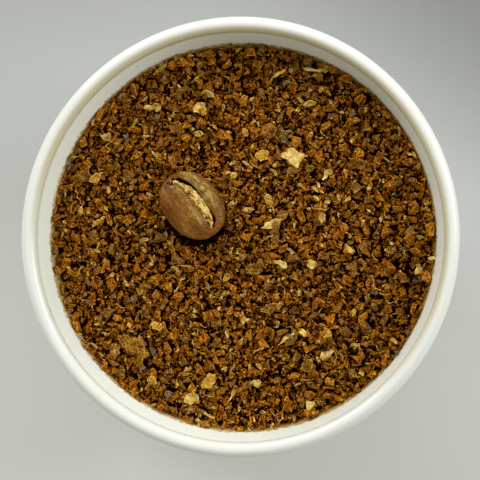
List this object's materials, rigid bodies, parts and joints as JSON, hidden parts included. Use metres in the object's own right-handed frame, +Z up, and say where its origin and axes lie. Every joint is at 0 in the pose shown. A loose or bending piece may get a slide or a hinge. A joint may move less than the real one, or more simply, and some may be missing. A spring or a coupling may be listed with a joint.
{
  "type": "bowl of ground coffee",
  "caption": "Small footed porcelain bowl with a beaded rim, filled with coarse ground coffee, with a whole roasted coffee bean lying on the grounds.",
  "frame": {"origin": "on the bowl's axis, in the plane that its foot ring stands on", "axes": "+Z up along the bowl's axis, +X towards the right of the picture and +Y towards its top"},
  "size_m": [0.065, 0.065, 0.034],
  "materials": {
    "porcelain": "white glazed porcelain, gloss softened by a slightly uneven glaze",
    "ground_coffee": "dry coarse-ground roasted coffee, matte brown with tan chaff",
    "roasted_bean": "medium-roast bean skin, satin brown with fine wrinkles",
    "silverskin": "crumpled papery chaff, golden tan"
  },
  "bodies": {
    "root": {"bowl": "porcelain", "coffee_grounds": "ground_coffee", "coffee_bean": "roasted_bean", "bean_silverskin": "silverskin"}
  },
  "joints": []
}
